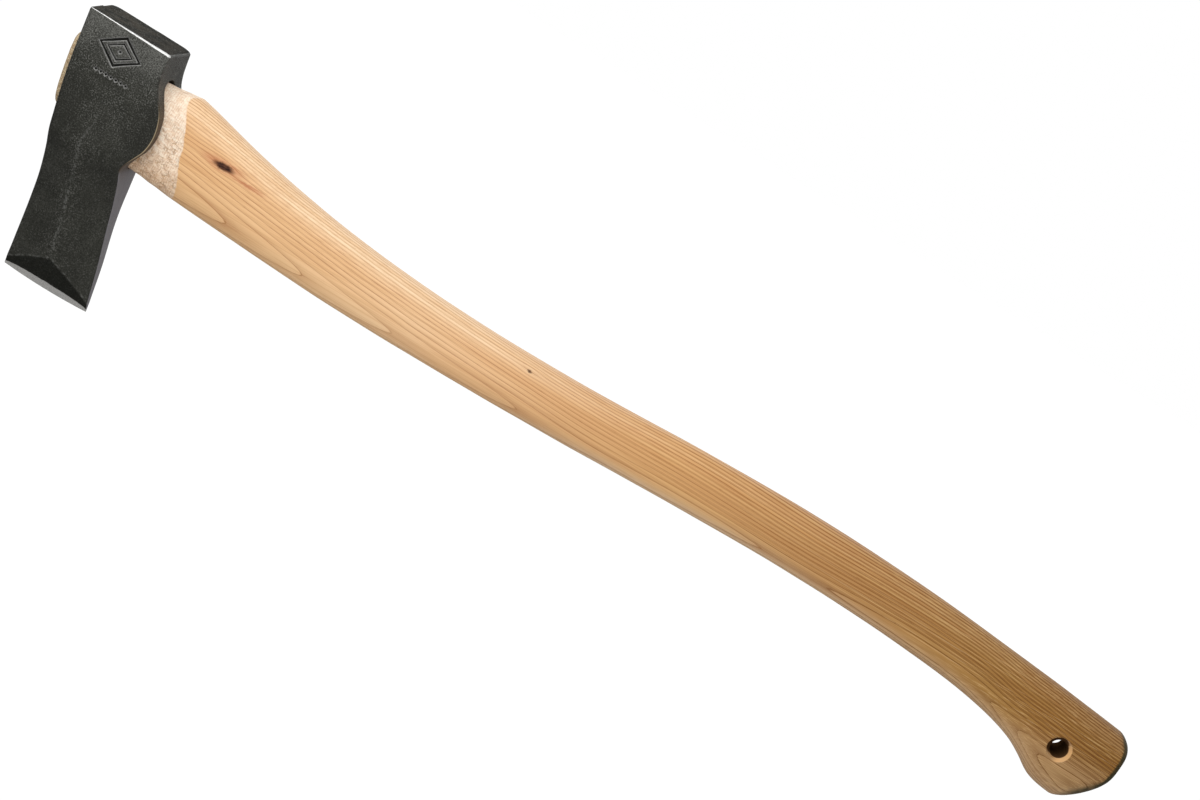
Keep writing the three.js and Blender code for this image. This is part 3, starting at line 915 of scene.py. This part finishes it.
def hickory():
    look = Look(bpy.data.materials.new("hickory"))
    here = look.place()
    x, y, z = look.parts(here)
    facing_x, _, facing_z = look.parts(look.facing())
    fibre = look.noise(here, (160, 0.5, 0.5), 2, 0.6, seed=13)
    pore = look.noise(here, (5.5, 0.24, 0.24), 2, 0.6, seed=14)
    tear = look.noise(here, (3.4, 1.1, 1.1), 4, 0.7, seed=16)
    line, index = growth_lines(look, here, x)
    pores = look.mul(look.span(pore, 0.60, 0.70), look.span(line, 0.12, 0.5, 0.15, 0.9))

    colour = handle_tones(look, here, x, z, facing_z)
    dark = look.blend(look.span(x, 380, 600), (0.55, 0.37, 0.24), (0.42, 0.28, 0.16))
    strong = look.mul(line, look.span(x, 100, 600, 0.9, 1))
    colour = look.blend(strong, colour, dark, "MULTIPLY")
    tone = look.mul(look.random(look.add(index, 0.5)), 0.45)
    colour = look.blend(tone, colour, (0.84, 0.72, 0.58), "MULTIPLY")
    fibres = look.span(fibre, 0.45, 0.62, 0, 0.45)
    colour = look.blend(fibres, colour, (0.76, 0.64, 0.52), "MULTIPLY")
    gold = look.mul(look.span(fibre, 0.44, 0.36), look.span(x, 300, 600, 0.1, 0.45))
    colour = look.blend(gold, colour, (0.66, 0.43, 0.19))
    colour = look.blend(pores, colour, (0.66, 0.50, 0.36), "MULTIPLY")

    neck, raw, torn = rasped_neck(look, here, x, z, tear)
    colour = look.blend(look.mul(neck, 0.86), colour, raw)
    colour, knot = with_knots(look, here, colour, fibre, tear)
    colour, inside = with_hole(look, x, y, z, colour)

    # painted shade round the butt, on its end and its faces turned down
    under = look.mul(look.span(facing_z, -0.45, -0.85), look.span(x, 664, 684))
    outward = look.most(look.span(facing_x, 0.06, 0.36), under)
    butt_shade = look.mul(look.span(x, 664, 680), outward,
                     look.span(look.noise(here, 6, 3, seed=18), 0.2, 0.6, 0.7, 1))
    colour = look.blend(look.mul(butt_shade, 0.95), colour, (0.030, 0.028, 0.010))

    # the tongue's stub is dull, and dotted with pores on its end
    lean_x = look.add(x, look.mul(z, LEAN))
    stub = look.noise(here, (3.5, 0.7, 0.7), 3, 0.7, seed=20)
    stub = look.blend(look.span(stub, 0.35, 0.62), (0.50, 0.42, 0.26), (0.25, 0.155, 0.065))
    on_stub = look.span(lean_x, END_X + 1.5, END_X - 0.5)
    colour = look.blend(look.mul(on_stub, 0.85), colour, stub)
    dots = look.span(look.noise(here, (9, 0.5, 0.5), 2, 0.6, seed=23), 0.5, 0.66)
    end_cut = look.span(lean_x, TONGUE_END + 3.2, TONGUE_END + 0.6)
    colour = look.blend(look.mul(end_cut, look.mul(dots, 0.8)), colour, (0.24, 0.14, 0.06))

    roughness = look.add(look.mul(fibre, 0.22), look.add(0.40, look.mul(neck, 0.22)))
    grooves = look.add(look.mul(line, -0.4), look.mul(fibre, 0.5))
    normal = look.bump(look.sub(grooves, look.mul(pores, 0.6)), 0.07)
    normal = look.bump(look.mul(torn, neck), 0.55, normal)
    matt = look.most(inside, look.mul(knot, 0.8))
    gloss = look.mul(look.sub(1, matt), look.span(x, 300, 640, 0.34, 0.18))
    return look.surface(Base_Color=colour, Roughness=roughness, Normal=normal,
                        Specular_IOR_Level=gloss)


def wedge_wood():
    look = Look(bpy.data.materials.new("wedge_wood"))
    here = look.place()
    fibre = look.noise(here, (12, 0.5, 3), 4, 0.7, seed=21)
    spots = look.noise(here, 1.2, 3, 0.6, seed=22)
    colour = look.blend(look.span(fibre, 0.3, 0.7), (0.50, 0.31, 0.16), (0.74, 0.51, 0.29))
    colour = look.blend(look.span(spots, 0.55, 0.75, 0, 0.5), colour, (0.32, 0.19, 0.10))
    roughness = look.span(fibre, 0.2, 0.8, 0.62, 0.85)
    normal = look.bump(look.add(fibre, spots), 0.25)
    return look.surface(Base_Color=colour, Roughness=roughness, Normal=normal)


def bright_steel():
    look = Look(bpy.data.materials.new("bright_steel"))
    here = look.place()
    turned = look.noise(here, (0.4, 5, 5), 3, 0.7, seed=31)
    stain = look.noise(here, 3.5, 4, 0.6, seed=32)
    colour = look.blend(look.span(turned, 0.3, 0.7), (0.38, 0.375, 0.36), (0.58, 0.575, 0.56))
    colour = look.blend(look.span(stain, 0.52, 0.72, 0, 0.6), colour, (0.20, 0.165, 0.13))
    roughness = look.span(stain, 0.3, 0.75, 0.28, 0.6)
    return look.surface(Base_Color=colour, Roughness=roughness, Metallic=0.95,
                        Normal=look.bump(look.add(turned, stain), 0.05))


# ---- Pieces ----
RING_KNOTS = [((75.4, 5.4), (13, 4.5), 0.8), (PIN_KNOT, (7, 2.5), 0.7)]  # at, reach, pull


def grain_rings(points):
    """Growth rings as a count, and how steeply the surface cuts them. The pith runs in front
    of the near face, at a height, depth and ring width that drift along X. The rings lie
    along the surface at flat_z, and crest is their count where the pith is nearest."""
    x, y, z = points.T
    pith_z, flat_z, depth, width = curve([
        [-40, -37, -22, 46, 1.90], [100, -38, -24, 38, 1.85], [187, -37.5, -26.6, 27, 2.0],
        [325, -37.5, -25.5, 22, 1.85], [400, -27.8, -22.2, 9, 2.1], [470, -25, -20.5, 7, 2.0],
        [560, -22, -20, 7, 1.82], [595, -25.8, -23.5, 9, 1.8], [620, -33.8, -30, 12, 1.8],
        [645, -39.8, -37.5, 15, 1.8], [670, -45.2, -43, 16, 1.8], [690, -50, -46, 17, 1.8],
    ])(x)
    crest = curve([
        [-40, 53.2], [46, 53.9], [100, 55.5], [150, 57.0], [205, 58.1], [295, 58.5],
        [400, 59.9], [540, 60.75], [590, 60.7], [603, 60.35], [627, 59.15], [640, 58.7],
        [655, 58.3], [672, 57.55], [690, 56.6],
    ])(x)[0]
    half = handle_lines(np.maximum(x, SHOULDER_X))[2]
    for (kx, kz), (rx, rz), pull in RING_KNOTS:
        near = np.exp(-((x - kx) / rx) ** 2 - ((z - kz) / rz) ** 2) * smoothstep(-y, 0, 6)
        z = z + (kz - z) * pull * near
    drift = 0.45 * rough(points, (120, 26, 26), 41) + 0.10 * rough(points, (36, 9, 9), 42)
    far = np.hypot(y + half + depth, z - pith_z)
    steep = np.abs(z - flat_z) / far
    return (far - depth + drift * smoothstep(steep, 0.05, 0.4)) / width + crest, steep


def neck_band(points, turned, end):
    """How far a point lies on the head's side of the neck's end, in mm along X."""
    x, y, z = points.T
    top, bottom, half = handle_lines(np.maximum(x, SHOULDER_X))
    c = (z - (top + bottom) / 2) / ((top - bottom) / 2)
    s = -y / half
    lift = lambda v: np.sign(v) * np.abs(np.clip(v, -1, 1)) ** 1.25
    angle = np.degrees(np.arctan2(lift(s), lift(c))) % 360
    return np.clip(np.interp(angle, turned, end, period=360) - x, -30, 30)


def cheek_marks(points):
    """Per point of the head: near a cheek's ridge, on a crease between planes, on the bevel."""
    x, y, z = points.T
    left, right = far_side(z)[0], near_side(z)[0]
    peak = ridge_share(z)[0]
    share = (x - left) / (right - left)
    off = np.abs(share - peak) * (right - left)
    along = smoothstep(-z, -8, 30) * smoothstep(z, -100, -92)
    side, ridge = half_thickness(z)
    tent = mix(ridge, side, np.clip(from_ridge(share, peak), 0, 1) ** TENT)
    cut = tent - bevel_limit(z)
    low = z < BEVEL_TOP
    arms = np.exp(-((cut / 0.16) ** 2)) * low
    crease = np.maximum(arms, np.exp(-((off / 0.9) ** 2)) * along)
    return np.exp(-((off / 5.5) ** 2)) * along, crease, smoothstep(cut, 0, 0.25) * low


eye, slab, loose_slab = eye_tool(), slab_tool(0.0), slab_tool(FIT)
groove, hole, marks = ring_tool(), hole_tool(), touchmark_tools()

head = head_blank()
carve(head, "DIFFERENCE", eye, *marks)
head.name = "head_forging"
for name, values in zip(("ridge", "crease", "bevel"), cheek_marks(places(head))):
    paint(head, name, values)

blank, turned, end = handle_blank()
kerf_wedge = twin(blank)
carve(kerf_wedge, "DIFFERENCE", groove)
carve(kerf_wedge, "INTERSECT", slab)
kerf_wedge.name = "kerf_wedge_wood"
carve(blank, "DIFFERENCE", loose_slab, groove, hole)
blank.name = "handle_hickory"
for name, values in zip(("ring", "steep"), grain_rings(places(blank))):
    paint(blank, name, values)
paint(blank, "band", neck_band(places(blank), turned, end))
ring = ring_wedge()

for tool in (eye, slab, loose_slab, groove, hole, *marks):
    bpy.data.objects.remove(tool)

finish_piece(head, "axe_head", forged_steel(), 32)
finish_piece(blank, "handle", hickory(), 38)
finish_piece(kerf_wedge, "kerf_wedge", wedge_wood(), 30)
finish_piece(ring, "ring_wedge", bright_steel(), 30)


# ---- Stage ----
FLOOR_HALF, FLOOR_DROP = 9.0, 0.60
LENS, SENSOR, CLIP = 69.0, 36.0, (0.05, 60.0)
CAMERA_AT = (0.28081, -1.27905, 0.24686)
CAMERA_RIGHT, CAMERA_UP = (0.85029, 0.08602, 0.51923), (-0.52505, 0.20678, 0.82557)
# Each softbox: name, place, aim, size, power.
SOFTBOXES = [
    ("key", (-0.30, -0.82, 0.76), (0.08, 0.0, -0.05), 1.0, 13.5),
    ("fill", (0.35, -1.20, -0.40), (0.25, 0.0, -0.08), 0.9, 5.6),
    ("back", (0.2, 1.6, 0.9), (0.3, 0.0, -0.05), 1.6, 7),
]


def floor():
    """White to the camera, and grey to the light that it throws back at the axe."""
    half, z = FLOOR_HALF, cad_low.z - FLOOR_DROP
    mesh = bpy.data.meshes.new("floor")
    corners = [(-half, -half, z), (half, -half, z), (half, half, z), (-half, half, z)]
    mesh.from_pydata(corners, [], [(0, 1, 2, 3)])
    made = add_object("floor", mesh)
    look = Look(bpy.data.materials.new("floor_paper"))
    seen = look.node("LightPath", {}).outputs["Is Camera Ray"]
    tint = look.blend(seen, (0.45, 0.45, 0.45), (0.9, 0.9, 0.9))
    paper = look.node("BsdfDiffuse", {"Color": tint}).outputs[0]
    glow = look.node("Emission", {"Color": (1, 1, 1, 1), "Strength": 1.08}).outputs[0]
    both = look.node("MixShader", {0: look.mul(seen, 0.92), 1: paper, 2: glow}).outputs[0]
    look.node("OutputMaterial", {"Surface": both})
    mesh.materials.append(look.owner)


def sky():
    """White to the camera. As a light it is dimmer, and dimmest from the camera's side."""
    world = bpy.data.worlds.new("studio")
    look = Look(world)
    _, along, up = look.parts(look.node("TexCoord", {}).outputs["Generated"])
    behind = look.span(along, -0.4, 0.7, 0.26, 0.50, "LINEAR")
    above = look.span(up, -0.1, 0.9, 0.0, 0.30, "LINEAR")
    seen = look.node("LightPath", {}).outputs["Is Camera Ray"]
    strength = look.span(seen, 0.0, 1.0, look.add(behind, above), 1.0, "LINEAR")
    shade = look.node("Background", {"Strength": strength, "Color": (1, 1, 1, 1)})
    look.node("OutputWorld", {"Surface": shade.outputs[0]})
    bpy.context.scene.world = world


def softbox(name, place, aim, size, power):
    light = bpy.data.lights.new(name, "AREA")
    light.shape = "SQUARE"
    light.size = size
    light.energy = power
    made = add_object(name, light)
    made.location = place
    made.visible_camera = False
    made.rotation_euler = (Vector(aim) - Vector(place)).to_track_quat("-Z", "Y").to_euler()


def camera():
    lens = bpy.data.cameras.new("camera")
    lens.lens, lens.sensor_width = LENS, SENSOR
    lens.clip_start, lens.clip_end = CLIP
    made = add_object("camera", lens)
    right, up = Vector(CAMERA_RIGHT), Vector(CAMERA_UP)
    turn = Matrix((right, up, right.cross(up))).transposed().to_4x4()
    made.matrix_world = Matrix.Translation(CAMERA_AT) @ turn
    bpy.context.scene.camera = made


floor()
sky()
camera()
for light in SOFTBOXES:
    softbox(*light)
bpy.context.scene.view_settings.view_transform = "Standard"
